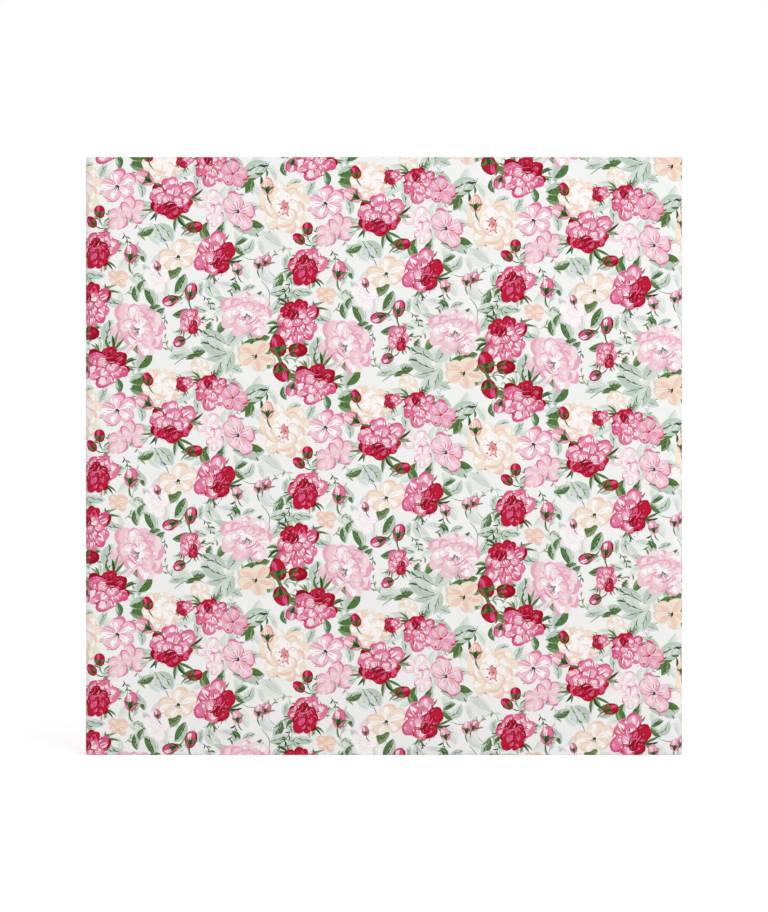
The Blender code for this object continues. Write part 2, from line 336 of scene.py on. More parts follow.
    # ---- leaves ----------------------------------------------------------------
    def leaf(self, x, y, length, turn, kind, wide, bend):
        """A pointed leaf: a pale body, a darker half, and brush marks that run out from the stalk."""
        body, half, mark = {"leaf": ("sage", "leaf", "deep"), "dark": ("moss", "leaf", "deep"),
                            "half": ("mist", "sage", "deep"), "sage": ("mist", "sage", "leaf"),
                            "mist": ("ice", "mist", "sage"), "ghost": ("ice", "mist", "mist")}[kind]
        cos, sin = math.cos(turn), math.sin(turn)
        tip = (x + length * cos, y + length * sin)
        self.stroke(body, (x, y), tip, length * wide, bend, blunt=0.10, count=8)
        side = 1 if self.dice.random() < 0.5 else -1
        ox, oy = side * 0.10 * length * wide * sin, -side * 0.10 * length * wide * cos
        share = 0.46 if kind in ("leaf", "dark") else 0.34
        self.stroke(half, (x + ox, y + oy), (tip[0] - 0.05 * length * cos, tip[1] - 0.05 * length * sin),
                    length * wide * share, bend - 0.14 * side, blunt=0.1, count=6)
        self.stroke(mark, (x, y), (x + 0.9 * length * cos, y + 0.9 * length * sin),
                    length * 0.035 + 0.3, bend, blunt=0.4, count=6)
        for k in range({"ghost": 0, "mist": 2, "sage": 4}.get(kind, 6)):
            t = 0.04 + 0.12 * k + self.spread(0.0, 0.05)
            rise = bend * math.sin(math.pi * t) * length
            rx, ry = x + t * length * cos - rise * sin, y + t * length * sin + rise * cos
            way = side if k % 3 else -side
            a = turn - way * self.spread(0.30, 0.50)
            reach = length * self.spread(0.32, 0.50) * (1.15 - 0.8 * t)
            self.stroke(mark if k % 2 else half, (rx, ry), polar(rx, ry, reach, a),
                        length * self.spread(0.03, 0.065), 0.16 * way, blunt=0.2, count=3)

    def stem(self, x, y, length, turn, ink, width, bend):
        self.stroke(ink, (x, y), polar(x, y, length, turn), width, bend, blunt=0.5, count=8)

    def sprig(self, x, y, length, turn, ink, leaves=6):
        """A thin stalk with narrow leaves to either side."""
        bend = 0.15
        self.stem(x, y, length, turn, ink, 0.9, bend)
        for k in range(leaves):
            t = (k + 0.8) / (leaves + 0.2)
            rise = bend * math.sin(math.pi * t) * length
            lx = x + t * length * math.cos(turn) - rise * math.sin(turn)
            ly = y + t * length * math.sin(turn) + rise * math.cos(turn)
            a = turn + (0.75 if k % 2 else -0.75)
            size = length * self.spread(0.24, 0.36)
            self.stroke(ink if k % 3 else ("deep" if ink == "leaf" else "moss"), (lx, ly),
                        polar(lx, ly, size, a), size * 0.30, 0.14, blunt=0.1, count=4)

    def specks(self, ink, x, y, spread, number, size=0.9):
        for _ in range(number):
            self.blob(ink, x + self.spread(-spread, spread), y + self.spread(-spread, spread),
                      size * self.spread(0.6, 1.3), self.spread(0.6, 1.0), self.spread(0, 3.0), 0.1, 6)


# The layout: each row is a place in millimetres from the repeat's top left corner, rightwards and
# down, then a size, the direction that the motif points in, in degrees, and its colour.
PRINT_SEED = 11
toward = math.radians
LEAVES = (
    (20, 72, 18, 60, "leaf"), (36, 68, 16, 75, "half"), (50, 73, 18, 20, "leaf"),
    (66, 64, 22, -60, "half"), (30, 60, 16, 210, "sage"), (57, 100, 15, 120, "leaf"),
    (47, 104, 14, 60, "sage"), (48, 112, 14, -40, "half"), (56, 118, 14, 250, "leaf"),
    (92, 106, 20, 215, "dark"), (96, 112, 22, 240, "leaf"), (112, 78, 18, 70, "leaf"),
    (118, 80, 16, 110, "dark"), (128, 80, 18, 75, "leaf"), (141, 66, 24, -12, "leaf"),
    (150, 66, 20, -30, "half"), (168, 72, 24, -30, "mist"), (176, 70, 18, -80, "sage"),
    (143, 84, 14, 25, "leaf"), (143, 84, 14, -45, "leaf"), (187, 110, 19, 245, "leaf"),
    (190, 110, 18, -50, "half"), (190, 106, 14, 75, "sage"), (108, 122, 18, 230, "half"),
    (120, 124, 16, -50, "mist"), (124, 134, 18, -30, "half"), (140, 120, 14, -60, "leaf"),
    (158, 140, 12, 120, "leaf"), (163, 138, 12, 60, "leaf"), (112, 140, 16, -20, "mist"),
    (110, 132, 14, 80, "sage"), (93, 135, 16, 190, "leaf"), (98, 145, 16, 200, "dark"),
    (104, 142, 14, -20, "half"), (72, 142, 16, 200, "leaf"), (76, 144, 16, 240, "leaf"),
    (66, 142, 20, 120, "leaf"), (50, 138, 16, 100, "leaf"), (36, 140, 18, 170, "half"),
    (26, 132, 14, 140, "mist"), (18, 186, 30, 65, "half"), (36, 175, 16, 200, "mist"),
    (60, 182, 26, 250, "half"), (52, 188, 20, 100, "dark"), (68, 215, 26, 195, "leaf"),
    (62, 224, 20, 170, "dark"), (8, 198, 16, 150, "dark"), (118, 170, 14, 80, "leaf"),
    (126, 168, 16, 60, "dark"), (134, 178, 28, 155, "half"), (140, 186, 26, 195, "sage"),
    (141, 176, 24, 55, "half"), (150, 180, 20, 15, "dark"), (132, 192, 24, 250, "half"),
    (172, 145, 16, 100, "sage"), (178, 150, 18, 60, "half"), (176, 172, 16, 190, "dark"),
    (180, 174, 18, 240, "dark"), (186, 180, 18, 200, "dark"), (198, 176, 16, -10, "leaf"),
    (190, 200, 16, -80, "leaf"), (180, 190, 14, -120, "leaf"), (160, 158, 14, 30, "leaf"),
    (96, 192, 22, 20, "leaf"), (104, 18, 18, -60, "half"), (98, 15, 18, 200, "mist"),
    (110, 28, 14, -60, "mist"), (148, 30, 14, 70, "leaf"), (150, 24, 26, 30, "leaf"),
    (174, 6, 28, 205, "half"), (160, 22, 14, -90, "sage"), (158, 20, 16, 250, "dark"),
    (192, 18, 14, 100, "leaf"), (192, 28, 16, 20, "sage"), (32, 12, 16, 100, "leaf"),
    (14, 20, 16, 60, "sage"), (4, 34, 18, -90, "mist"), (12, 44, 16, -100, "half"),
    (60, 54, 22, 200, "half"), (62, 48, 20, 170, "sage"), (106, 62, 16, -160, "leaf"),
    (112, 36, 14, 100, "mist"), (136, 36, 16, 60, "mist"), (88, 178, 18, -30, "mist"),
    (94, 74, 16, 30, "half"), (150, 205, 18, 160, "sage"), (78, 120, 16, -90, "mist"),
    (150, 128, 14, 20, "half"), (44, 84, 16, -40, "sage"), (172, 100, 14, -130, "mist"),
    (198, 132, 16, 190, "sage"), (2, 110, 18, -10, "half"),
)
BROAD_LEAVES = (
    (134, 186, 27, 152, "half"), (136, 180, 24, 52, "half"), (141, 186, 22, 252, "sage"),
    (20, 178, 24, 75, "half"), (62, 184, 22, 236, "leaf"), (60, 206, 20, 205, "leaf"),
    (168, 72, 26, -35, "mist"), (150, 64, 22, -8, "leaf"), (70, 64, 22, -52, "sage"),
    (176, 130, 18, 20, "half"), (140, 126, 18, -60, "half"), (112, 22, 18, 120, "sage"),
)
BUDS = (
    (57, 20, 11, 150, "pink"), (14, 52, 8, 90, "red"), (44, 92, 11, 80, "rose"),
    (105, 67, 9, 20, "red"), (204, 78, 8, 140, "red"), (101, 128, 10, 80, "hot"),
    (81, 137, 9, 200, "hot"), (90, 176, 8, 200, "hot"), (184, 180, 13, 100, "red"),
    (187, 205, 12, -80, "red"), (203, 184, 11, -10, "crimson"), (145, 107, 8, 100, "pink"),
    (166, 101, 8, 80, "pink"), (69, 104, 6, 100, "rose"), (174, 28, 10, 90, "peach"),
    (197, 8, 9, -110, "rose"), (173, 99, 7, 60, "rose"), (2, 170, 7, 20, "red"),
    (60, 212, 8, 100, "red"),
)


def draw_growth(p):
    """Pale growth behind everything, on a loose diagonal grid."""
    for row in range(9):
        for column in range(8):
            x = (column + 0.5 + 0.5 * (row % 2)) * PITCH_X / 8 + p.spread(-7, 7)
            y = -(row + 0.5) * PITCH_Y / 9 + x * DROP / PITCH_X + p.spread(-7, 7)
            kind = ("ghost", "ghost", "mist", "ghost", "sage")[(row * 3 + column) % 5]
            aim = p.spread(0, math.tau)
            p.leaf(x, y, p.spread(15, 24), aim, kind, p.spread(0.40, 0.54), p.spread(-0.18, 0.18))
            if (row + column) % 2:
                ink = "sage" if column % 2 else "moss"
                p.sprig(x + 6, y - 5, p.spread(14, 22), aim + 2.0, ink, leaves=5)


def draw_leaves(p):
    """Stems, then the leaves that stand round the flowers, then short leafy sprigs."""
    for x, down, length, aim, ink in (
            (150, 22, 30, 20, "leaf"), (200, 115, 26, 165, "moss"), (168, 118, 26, -80, "moss"),
            (85, 198, 34, 5, "leaf"), (16, 112, 20, 60, "moss"), (120, 12, 28, 10, "moss"),
            (176, 90, 30, 185, "moss"), (66, 76, 22, -50, "leaf"), (112, 126, 24, 160, "leaf"),
            (60, 10, 20, 120, "leaf"), (20, 70, 22, 10, "moss"), (140, 206, 24, 15, "moss")):
        p.stem(x, -down, length, toward(aim), ink, 1.0, 0.22)
    for x, down, length, aim, kind in LEAVES:
        p.leaf(x, -down, length, toward(aim), kind, 0.46, p.spread(-0.12, 0.16))
    for x, down, length, aim, kind in BROAD_LEAVES:
        p.leaf(x, -down, length, toward(aim), kind, 0.60, p.spread(-0.1, 0.1))
    for x, down, length, aim in (
            (176, 4, 26, 225), (36, 72, 16, -75), (143, 112, 18, -110), (112, 132, 16, -60),
            (76, 150, 16, 250), (196, 118, 20, -130), (8, 60, 16, 20), (134, 78, 16, 100)):
        p.sprig(x, -down, length, toward(aim), "leaf")


def draw_pale_blooms(p):
    """Blush and shell blossoms, cream roses, and the two large peonies."""
    p.blossom(33, -56, 15, toward(-60), body="blush", vein="pink", heart=None, glow="shell", squash=0.7)
    p.blossom(45, -51, 14, toward(20), body="blush", glow="shell", heart=None, squash=0.75)
    p.blossom(31, -28, 20, toward(100), body="blush", edge="rose", vein="rose")
    p.blossom(117, -42, 13, toward(60), body="shell", vein="pink", edge="pink", heart=None)
    p.blossom(123, -56, 12, toward(-20), body="shell", vein="pink", edge="rose", heart=None, squash=0.7)
    p.blossom(146, -52, 20, toward(20), body="blush", vein="hot", glow="shell", squash=0.7)
    p.cream_rose(74, -6, 20, toward(40), False)
    p.cream_rose(191, -48, 26, toward(10))
    p.peony(51, -164, 27, toward(30))
    p.peony(154, -150, 25, toward(100))
    p.blossom(89, -95, 19, toward(100), body="cream", edge="peach", vein="peach")
    p.blossom(163, -190, 19, toward(60), body="cream", edge="peach", vein="peach", glow="peach", squash=0.8)
    p.blossom(31, -116, 11, toward(40), petals=4, body="peach", edge="peach", vein="coral", heart=None,
              glow="cream")
    p.blossom(67, -116, 15, toward(10), petals=5, body="white", edge="shell", vein="blush", heart=None)
    p.blossom(110, -201, 11, toward(30), petals=5, body="cream", edge="peach", vein="peach", heart=None)


def draw_roses(p):
    """The dark roses, and the one bright blossom among them."""
    p.cabbage_rose(83, -41, 22, toward(80), 0.9, shade=toward(-80))
    p.cabbage_rose(13, -87, 20, toward(-60), 0.6, shade=toward(-90), squash=0.84)
    p.cabbage_rose(123, -95, 21, toward(120), 1.2, shade=toward(-10), squash=0.92)
    p.cabbage_rose(3, -140, 22, toward(-60), 0.95, shade=toward(100), petals=7, squash=0.90)
    p.cabbage_rose(22, -198, 22, toward(-120), 0.9, shade=toward(60), squash=0.88)
    p.cabbage_rose(120, -8, 17, toward(-60), 0.7)
    p.blossom(141, -16, 16, toward(10), body="pink", vein="hot", edge="hot", heart="red", glow="blush")
    p.cabbage_rose(95, -3, 9, toward(60), 1.3, petals=5, squash=0.8)
    p.cabbage_rose(101, -156, 13, toward(150), 0.8, petals=5, squash=0.8)


def draw_buds(p):
    """Closed buds, and a few red flecks that have dropped off the roses."""
    for x, down, size, aim, body in BUDS:
        light = {"red": "hot", "crimson": "red", "peach": "cream"}.get(body, "shell")
        shade = {"pink": "rose", "rose": "hot", "peach": "coral"}.get(body, "crimson")
        p.bud(x, -down, size, toward(aim), body, light, shade)
    p.specks("red", 92, -10, 6, 4)
    p.specks("red", 134, -24, 7, 4)
    p.specks("red", 118, -160, 6, 6)
    p.specks("crimson", 124, -116, 5, 2, 1.2)


def draw_cell():
    """One repeat of the chintz, from the farthest growth to the nearest buds."""
    p = Print(PRINT_SEED)
    for draw in (draw_growth, draw_leaves, draw_pale_blooms, draw_roses, draw_buds):
        draw(p)
    return p


# ---- From the frame ----------------------------------------------------------
def corners(node):
    """The lowest and the highest corner of a CAD node's box."""
    low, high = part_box(node)
    return Vector(low), Vector(high)


MM = 0.001
WOUND_LOW, WOUND_HIGH = corners("wound_cloth")
TAIL_LOW, TAIL_HIGH = corners("loose_end")
SLEEVE_LOW, SLEEVE_HIGH = corners("board_sleeve")
PIN_NUMBERS = (1, 2, 3)
PIN_HEIGHTS = [sum(corner.z for corner in corners(f"pin_{k}_shaft")) / 2 for k in PIN_NUMBERS]
HEIGHT = WOUND_HIGH.z
HALF = WOUND_HIGH.x
FRONT_Y = WOUND_LOW.y
BACK_Y = WOUND_HIGH.y
TAIL_Y = TAIL_HIGH.y
TAIL_END = TAIL_HIGH.x
BEND = HALF + TAIL_LOW.x            # radius of the winding's outer corners

# ---- The cloth's own sizes ----------------------------------------------------
LAYER = 0.00025         # thickness of one layer of cotton
TURN = 0.0007           # two layers and the air between them
TURNS = 12
FOLD_ROUND = 0.0003     # radius that the cloth's lengthwise fold is pressed to
LIP = 0.010             # how far the outer layer is shown running down inside its fold
BEND_STEPS = 10
FOLD_STEPS = 5
PIN_BITE = TAIL_END - 0.012         # where the pins pass under a bite of cloth
BITE_RISE = 0.0016
BITE_TALL = 0.0022      # half height and half length of a bite
BITE_LONG = 0.0065
BITE_ROWS = 0.0012      # spacing of the edges that round a bite, up and along the cloth
BITE_COLUMNS = 0.003
BITE_REACH = 0.010      # how far along the cloth those edges run to each side
HINGE_STEP = 0.003
UNEVEN = 0.00012        # how far the wound cloth strays from flat
HIDDEN = 0.0004         # how much lower than the outer fold the layers under it stop
FOLD_RAGGED = 0.0007    # how unevenly the inner turns' folds lie, one turn to the next
FOOT_RISE = 0.0006      # their raw edges' height over the floor, and how uneven they are
FOOT_RAGGED = 0.0008

FLAT = 2 * (HALF - BEND)                    # flat width of the front
SIDE = BACK_Y - FRONT_Y - 2 * BEND          # flat depth of a wound edge
ARC = math.pi / 2 * BEND
ROUND = 2 * ARC + SIDE                      # cloth length round one wound edge
LOOP = 2 * (FLAT + ROUND)
BACK_START = FLAT + ROUND
BACK_END = BACK_START + FLAT
TAIL_START = -ROUND
TAIL_STOP = -(ROUND + TAIL_END - TAIL_LOW.x)


def round_edge(s, far_rise=0.0):
    """Point and outward normal at distance s round the right wound edge, from front to back."""
    if s <= ARC:
        a = s / BEND
        x, y = HALF - BEND + BEND * math.sin(a), FRONT_Y + BEND - BEND * math.cos(a)
        return x, y, math.sin(a), -math.cos(a)
    if s <= ARC + SIDE:
        return HALF, FRONT_Y + BEND + s - ARC, 1.0, 0.0
    a = min(s - ARC - SIDE, ARC) / BEND
    rise = BEND + far_rise
    return HALF - BEND + BEND * math.cos(a), BACK_Y - BEND + rise * math.sin(a), math.cos(a), math.sin(a)


def winding(s):
    """Point and outward normal of the outer layer at cloth distance s from the front's left bend.
    s grows to the right over the front; the loose end lies at negative s."""
    if s < TAIL_START:
        return -HALF + BEND - s + TAIL_START, TAIL_Y, 0.0, 1.0
    if s < 0:
        x, y, nx, ny = round_edge(-s, TAIL_Y - BACK_Y)
        return -x, y, -nx, ny
    if s <= FLAT:
        return -HALF + BEND + s, FRONT_Y, 0.0, -1.0
    if s <= BACK_START:
        return round_edge(s - FLAT)
    return HALF - BEND - (s - BACK_START), BACK_Y, 0.0, 1.0


def loop(s):
    """Point and outward normal of a whole turn's outline, once round from the front's left bend."""
    s %= LOOP
    if s <= BACK_END:
        return winding(s)
    x, y, nx, ny = round_edge(LOOP - s)
    return -x, y, -nx, ny


def over_fold(up):
    """Height and depth of cloth that runs up the outside, over the lengthwise fold and down inside."""
    past = up - (HEIGHT - FOLD_ROUND)
    if past <= 0:
        return up, 0.0
    a = past / FOLD_ROUND
    if a <= math.pi:
        return HEIGHT - FOLD_ROUND + FOLD_ROUND * math.sin(a), FOLD_ROUND * (1 - math.cos(a))
    return HEIGHT - FOLD_ROUND - FOLD_ROUND * (a - math.pi), 2 * FOLD_ROUND


FOLD_TOP = HEIGHT - FOLD_ROUND + math.pi * FOLD_ROUND + LIP      # how far up the flat cloth is cut
FOLD_LINES = [HEIGHT - FOLD_ROUND + math.pi * FOLD_ROUND * k / FOLD_STEPS for k in range(FOLD_STEPS + 1)]


# ---- Flattening the print -------------------------------------------------------
SPECK = 0.08            # bends in an outline smaller than this, in millimetres, are straightened
SEAM = 0.00002          # corners of neighbouring tiles closer than this, in metres, become one
CUT = 0.000001          # how near a cut a corner has to be to lie on it


def signed_area(points):
    """Positive when the corners run anticlockwise."""
    total = 0.0
    for (ax, ay), (bx, by) in zip(points, points[1:] + points[:1]):
        total += ax * by - bx * ay
    return total / 2


def pile_up(shapes, low, high, shifts):
    """Every shape that touches the rectangle, at each shift: corners, faces and inks."""
    places, faces, inks = [], [], []
    for ink, points in shapes:
        if signed_area(points) < 0:
            points = points[::-1]
        xs = [p[0] for p in points]
        ys = [p[1] for p in points]
        for dx, dy in shifts:
            if max(xs) + dx < low[0] or min(xs) + dx > high[0]:
                continue
            if max(ys) + dy < low[1] or min(ys) + dy > high[1]:
                continue
            start = len(places)
            places += [Vector((x + dx, y + dy)) for x, y in points]
            faces.append(list(range(start, start + len(points))))
            inks.append(INK_NAMES.index(ink))
    return places, faces, inks


def overlay(shapes, low, high, shifts):
    """Cuts overlapping shapes into triangles. Returns points, triangles and the ink on top of each,
    -1 outside the rectangle."""
    places, faces, inks = pile_up(shapes, low, high, shifts)
    start = len(places)
    places += [Vector(p) for p in ((low[0], low[1]), (high[0], low[1]), high, (low[0], high[1]))]
    # where the next column's repeat begins, so that neighbouring tiles share their corners
    places += [Vector((low[0], low[1] - DROP)), Vector((high[0], high[1] + DROP))]
    border = [(start + k, start + (k + 1) % 4) for k in range(4)]
    points, _, triangles, _, _, sources = delaunay_2d_cdt(places, border, faces, 0, 1e-4, True)
    points, triangles = np.array(points), np.array(triangles)
    top = np.array([max((k for k in covers if k < len(inks)), default=-1) for covers in sources])
    showing = np.where(top >= 0, np.array(inks)[top], INK_NAMES.index("ground"))
    middle = points[triangles].mean(axis=1)
    inside = (middle > low).all(axis=1) & (middle < high).all(axis=1)
    return points, triangles, np.where(inside, showing, -1)


def outlines(triangles, inks, count):
    """The edges that have a different ink on each side."""
    edges = np.sort(np.vstack((triangles[:, (0, 1)], triangles[:, (1, 2)], triangles[:, (2, 0)])), axis=1)
    owner = np.tile(np.arange(len(triangles)), 3)
    code = edges[:, 0].astype(np.int64) * count + edges[:, 1]
    order = np.argsort(code, kind="stable")
    paired = code[order][1:] == code[order][:-1]
    one, other = order[:-1][paired], order[1:][paired]
    return edges[one[inks[owner[one]] != inks[owner[other]]]]


def straighten(points, edges, low, high):
    """Drops corners that hardly bend an outline, except on the rectangle's own sides."""
    links = {}
    for a, b in edges.tolist():
        links.setdefault(a, set()).add(b)
        links.setdefault(b, set()).add(a)
    places = points.tolist()
    for corner in sorted(links):
        if len(links[corner]) != 2:
            continue
        x, y = places[corner]
        if min(abs(x - low[0]), abs(x - high[0]), abs(y - low[1]), abs(y - high[1])) < 1e-3:
            continue
        a, b = sorted(links[corner])
        (ax, ay), (bx, by) = places[a], places[b]
        away = abs((bx - ax) * (y - ay) - (by - ay) * (x - ax)) / (math.hypot(bx - ax, by - ay) or 1e-9)
        if away < SPECK and b not in links[a]:
            links[a].remove(corner)
            links[b].remove(corner)
            links[a].add(b)
            links[b].add(a)
            del links[corner]
    return links


def flatten(shapes, low, high, shifts):
    """Overlapping shapes in painter's order become one planar mesh inside a rectangle.
    Returns vertices, triangles and each triangle's ink."""
    points, triangles, inks = overlay(shapes, low, high, shifts)
    links = straighten(points, outlines(triangles, inks, len(points)), low, high)
    kept = sorted(links)
    number = {corner: k for k, corner in enumerate(kept)}
    edges = [(number[a], number[b]) for a in kept for b in links[a] if a < b]
    places = [Vector(points[corner]) for corner in kept]
    flat, _, faces, _, _, _ = delaunay_2d_cdt(places, edges, [], 0, 1e-3, False)
    inside = inks >= 0
    tree = BVHTree.FromPolygons(np.column_stack((points, np.zeros(len(points)))).tolist(),
                                triangles[inside].tolist())
    known = inks[inside]
    flat, faces = np.array(flat), np.array(faces)
    middle = flat[faces].mean(axis=1)
    keep = (middle > low).all(axis=1) & (middle < high).all(axis=1)
    faces, middle = faces[keep], middle[keep]
    hits = [tree.find_nearest((x, y, 0.0))[2] for x, y in middle.tolist()]
    return flat, faces, known[hits]


def print_repeat():
    """One repeat of the print as a flat mesh that tiles."""
    shifts = [(i * PITCH_X, i * DROP - j * PITCH_Y) for i in (-1, 0, 1) for j in (-1, 0, 1)]
    return flatten(draw_cell().shapes, (0.0, -PITCH_Y), (PITCH_X, 0.0), shifts)


def tile_print(repeat, left, right, bottom, top):
    """The faces of every tile that touch a rectangle, in millimetres: points, faces and inks."""
    points, faces, inks = repeat
    all_points, all_faces, all_inks, count = [], [], [], 0
    nearest, farthest = points[faces].min(axis=1), points[faces].max(axis=1)
    for column in range(math.floor(left / PITCH_X), math.floor(right / PITCH_X) + 1):
        lift = column * DROP
        for row in range(math.floor((lift - top) / PITCH_Y) - 1, math.floor((lift - bottom) / PITCH_Y) + 1):
            shift = np.array((column * PITCH_X, lift - row * PITCH_Y))
            least, most = nearest + shift, farthest + shift
            keep = (most[:, 0] > left) & (least[:, 0] < right) & (most[:, 1] > bottom) & (least[:, 1] < top)
            if keep.any():
                all_points.append(points + shift)
                all_faces.append(faces[keep] + count)
                all_inks.append(inks[keep])
                count += len(points)
    return np.vstack(all_points), np.vstack(all_faces), np.concatenate(all_inks)


def lay_print(repeat, start, stop, high):
    """A bmesh of the print over cloth distance start to stop, x along the cloth, y up, in metres.
    The front's left edge is the print's left edge."""
    points, faces, inks = tile_print(repeat, (start + BEND) / MM, (stop + BEND) / MM,
                                     -HEIGHT / MM, (high - HEIGHT) / MM)
    mesh = bpy.data.meshes.new("print")
    flat = np.column_stack((points[:, 0] * MM - BEND, points[:, 1] * MM + HEIGHT, np.zeros(len(points))))
    mesh.from_pydata(flat.tolist(), [], faces.tolist())
    mesh.polygons.foreach_set("material_index", inks.astype(np.int32))
    sheet = bmesh.new()
    sheet.from_mesh(mesh)
    bpy.data.meshes.remove(mesh)
    bmesh.ops.delete(sheet, geom=[v for v in sheet.verts if not v.link_faces], context="VERTS")
    for axis, place, side in ((0, start, -1), (0, stop, 1), (1, 0.0, -1), (1, high, 1)):
        trim(sheet, axis, place, side)
    bmesh.ops.remove_doubles(sheet, verts=sheet.verts, dist=SEAM)
    return sheet


def span(face, axis):
    """How far a face reaches along an axis."""
    places = [vertex.co[axis] for vertex in face.verts]
    return min(places), max(places)


def faces_in(sheet, axis, low, high, others=None):
    """Faces that reach into the band from low to high along an axis."""
    found = []
    for face in others or sheet.faces:
        near, far = span(face, axis)
        if near < high and far > low:
            found.append(face)
    return found


def slice_faces(sheet, faces, axis, place, side=1.0, **options):
    """Cuts faces along a line across an axis and returns the faces on both sides of it."""
    origin, normal = [0.0, 0.0, 0.0], [0.0, 0.0, 0.0]
    origin[axis] = place
    normal[axis] = side
    edges = dict.fromkeys(edge for face in faces for edge in face.edges)
    verts = dict.fromkeys(vertex for face in faces for vertex in face.verts)
    cut = bmesh.ops.bisect_plane(sheet, geom=[*verts, *edges, *faces], dist=CUT,
                                 plane_co=origin, plane_no=normal, **options)
    return [item for item in cut["geom"] if isinstance(item, bmesh.types.BMFace)]


def cut_lines(sheet, places, axis=0, near=None):
    """Adds edges across the sheet where it will bend; near limits them to a band of the other axis."""
    if not places:
        return
    faces = faces_in(sheet, 1 - axis, *near) if near else None
    faces = faces_in(sheet, axis, min(places), max(places), faces)
    for place in places:
        faces = slice_faces(sheet, faces, axis, place)


def trim(sheet, axis, place, side):
    """Cuts the sheet off at a line and drops what lies beyond it on that side."""
    reach = (place, math.inf) if side > 0 else (-math.inf, place)
    slice_faces(sheet, faces_in(sheet, axis, *reach), axis, place, side, clear_outer=True)


# ---- Materials --------------------------------------------------------------------
def linear(value):
    """A colour channel from 0 to 255 as linear light."""
    value /= 255.0
    return value / 12.92 if value <= 0.04045 else ((value + 0.055) / 1.055) ** 2.4


def ink_colours():
    return [tuple(ALBEDO * linear(channel) for channel in INK[name]) + (1.0,) for name in INK_NAMES]


def set_inputs(node, values):
    """Gives a node's inputs their values, by name."""
    for name, value in values.items():
        node.inputs[name].default_value = value


class Nodes:
    """A small helper round one material's node tree."""

    def __init__(self, name, values):
        self.material = bpy.data.materials.new(name)
        self.material.use_nodes = True
        self.tree = self.material.node_tree
        self.shader = self.tree.nodes["Principled BSDF"]
        set_inputs(self.shader, values)

    def add(self, kind, inputs=None, **values):
        node = self.tree.nodes.new(kind)
        set_inputs(node, inputs or {})
        for key, value in values.items():
            setattr(node, key, value)
        return node

    def link(self, source, target):
        self.tree.links.new(source, target)

    def place(self, scale=(1.0, 1.0, 1.0)):
        """Object coordinates in metres, scaled."""
        where = self.add("ShaderNodeTexCoord")
        mapping = self.add("ShaderNodeMapping", {"Scale": scale})
        self.link(where.outputs["Object"], mapping.inputs["Vector"])
        return mapping.outputs["Vector"]

    def cloud(self, scale, detail, roughness=0.5, vector=None):
        texture = self.add("ShaderNodeTexNoise", {"Scale": scale, "Detail": detail, "Roughness": roughness})
        self.link(vector or self.place(), texture.inputs["Vector"])
        return texture.outputs["Fac"]

    def ramp(self, value, stops, smooth=True):
        ramp = self.add("ShaderNodeValToRGB")
        ramp.color_ramp.interpolation = "LINEAR" if smooth else "CONSTANT"
        points = ramp.color_ramp.elements
        while len(points) < len(stops):
            points.new(0.5)
        for point, (position, colour) in zip(points, stops):
            point.position = position
            point.color = (*colour, 1.0)
        self.link(value, ramp.inputs["Fac"])
        return ramp.outputs["Color"]

    def math(self, operation, a, b=0.0):
        node = self.add("ShaderNodeMath", operation=operation)
        for socket, value in zip(node.inputs, (a, b)):
            if isinstance(value, (int, float)):
                socket.default_value = value
            else:
                self.link(value, socket)
        return node.outputs[0]

    def tint(self, colour, factor, low, high):
        """Multiplies a colour by low to high as factor goes from 0 to 1."""
        spread = self.add("ShaderNodeMapRange", {"To Min": low, "To Max": high})
        self.link(factor, spread.inputs["Value"])
        mix = self.add("ShaderNodeVectorMath", operation="SCALE")
        self.link(colour, mix.inputs[0])
        self.link(spread.outputs["Result"], mix.inputs["Scale"])
        return mix.outputs[0]

    def bump(self, height, distance, strength, under=None):
        bump = self.add("ShaderNodeBump", {"Distance": distance, "Strength": strength})
        self.link(height, bump.inputs["Height"])
        if under is not None:
            self.link(under, bump.inputs["Normal"])
        return bump.outputs["Normal"]

    def finish(self, colour, normal=None):
        self.link(colour, self.shader.inputs["Base Color"])
        if normal is not None:
            self.link(normal, self.shader.inputs["Normal"])
        return self.material


def thread_weave(nodes, across):
    """Height of a plain weave, threads along Z and along the horizontal axis given."""
    where = nodes.add("ShaderNodeTexCoord")
    split = nodes.add("ShaderNodeSeparateXYZ")
    nodes.link(where.outputs["Object"], split.inputs[0])
    rate = math.tau / (2 * THREAD)
    warp = nodes.math("SINE", nodes.math("MULTIPLY", split.outputs[across], rate))
    weft = nodes.math("SINE", nodes.math("MULTIPLY", split.outputs[2], rate))
    return nodes.math("ABSOLUTE", nodes.math("MULTIPLY", warp, weft))


def cotton(name, printed=True, across=0):
    """Plain weave cotton: ink from the mesh, faintly mottled where it sinks in."""
    nodes = Nodes(name, {"Roughness": 0.88, "Sheen Weight": 0.02, "Sheen Roughness": 0.5,
                         "Specular IOR Level": 0.08})
    if printed:
        ink = nodes.add("ShaderNodeAttribute", attribute_name="ink")
        colour = ink.outputs["Color"]
    else:
        turns_apart = nodes.place((100.0, 1300.0, 100.0))
        colour = nodes.ramp(nodes.cloud(1.0, 1.0, 0.5, turns_apart), edge_stops(), smooth=False)
    colour = nodes.tint(colour, nodes.cloud(260.0, 3.0, 0.6), 0.955, 1.045)
    colour = nodes.tint(colour, nodes.cloud(9.0, 2.0), 0.985, 1.015)
    weave = thread_weave(nodes, across)
    slub = nodes.cloud(1.0, 2.0, 0.6, nodes.place((60.0, 60.0, 900.0)))
    normal = nodes.bump(weave, 0.00006, 0.7)
    normal = nodes.bump(slub, 0.00012, 0.5, under=normal)
    return nodes.finish(colour, normal)


